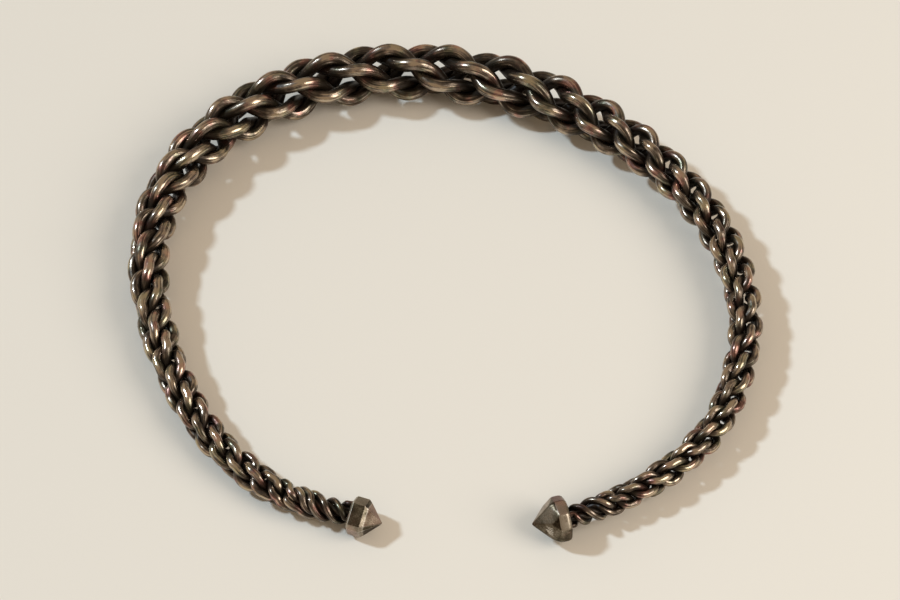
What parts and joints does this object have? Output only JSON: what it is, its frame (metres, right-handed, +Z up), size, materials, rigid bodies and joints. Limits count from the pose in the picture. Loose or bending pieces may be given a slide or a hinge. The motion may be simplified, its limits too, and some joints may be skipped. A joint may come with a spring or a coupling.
{
  "type": "silver torc",
  "caption": "Open neck ring of tapering rods twisted in pairs into a loose rope, thickest at the back, with a faceted knob at each end.",
  "frame": {"origin": "on the surface the torc lies on, below the middle of its outline", "axes": "+X across the ring from the left knob's side to the right knob's side, +Y towards the thick back of the ring, with the mouth facing -Y, +Z up from the surface"},
  "size_m": [0.1642, 0.1592, 0.0162],
  "materials": {
    "rod_silver": "tarnished silver, drawn and hammered rods, near black in the hollows and rubbed bright on the crowns",
    "knob_silver": "tarnished silver, smoothed flat facets with fine scratches and worn bright edges"
  },
  "bodies": {
    "root": {"strand_1_rod_a": "rod_silver", "strand_1_rod_b": "rod_silver", "strand_2_rod_a": "rod_silver", "strand_2_rod_b": "rod_silver", "strand_3_rod_a": "rod_silver", "strand_3_rod_b": "rod_silver", "left_knob": "knob_silver", "right_knob": "knob_silver"}
  },
  "joints": []
}
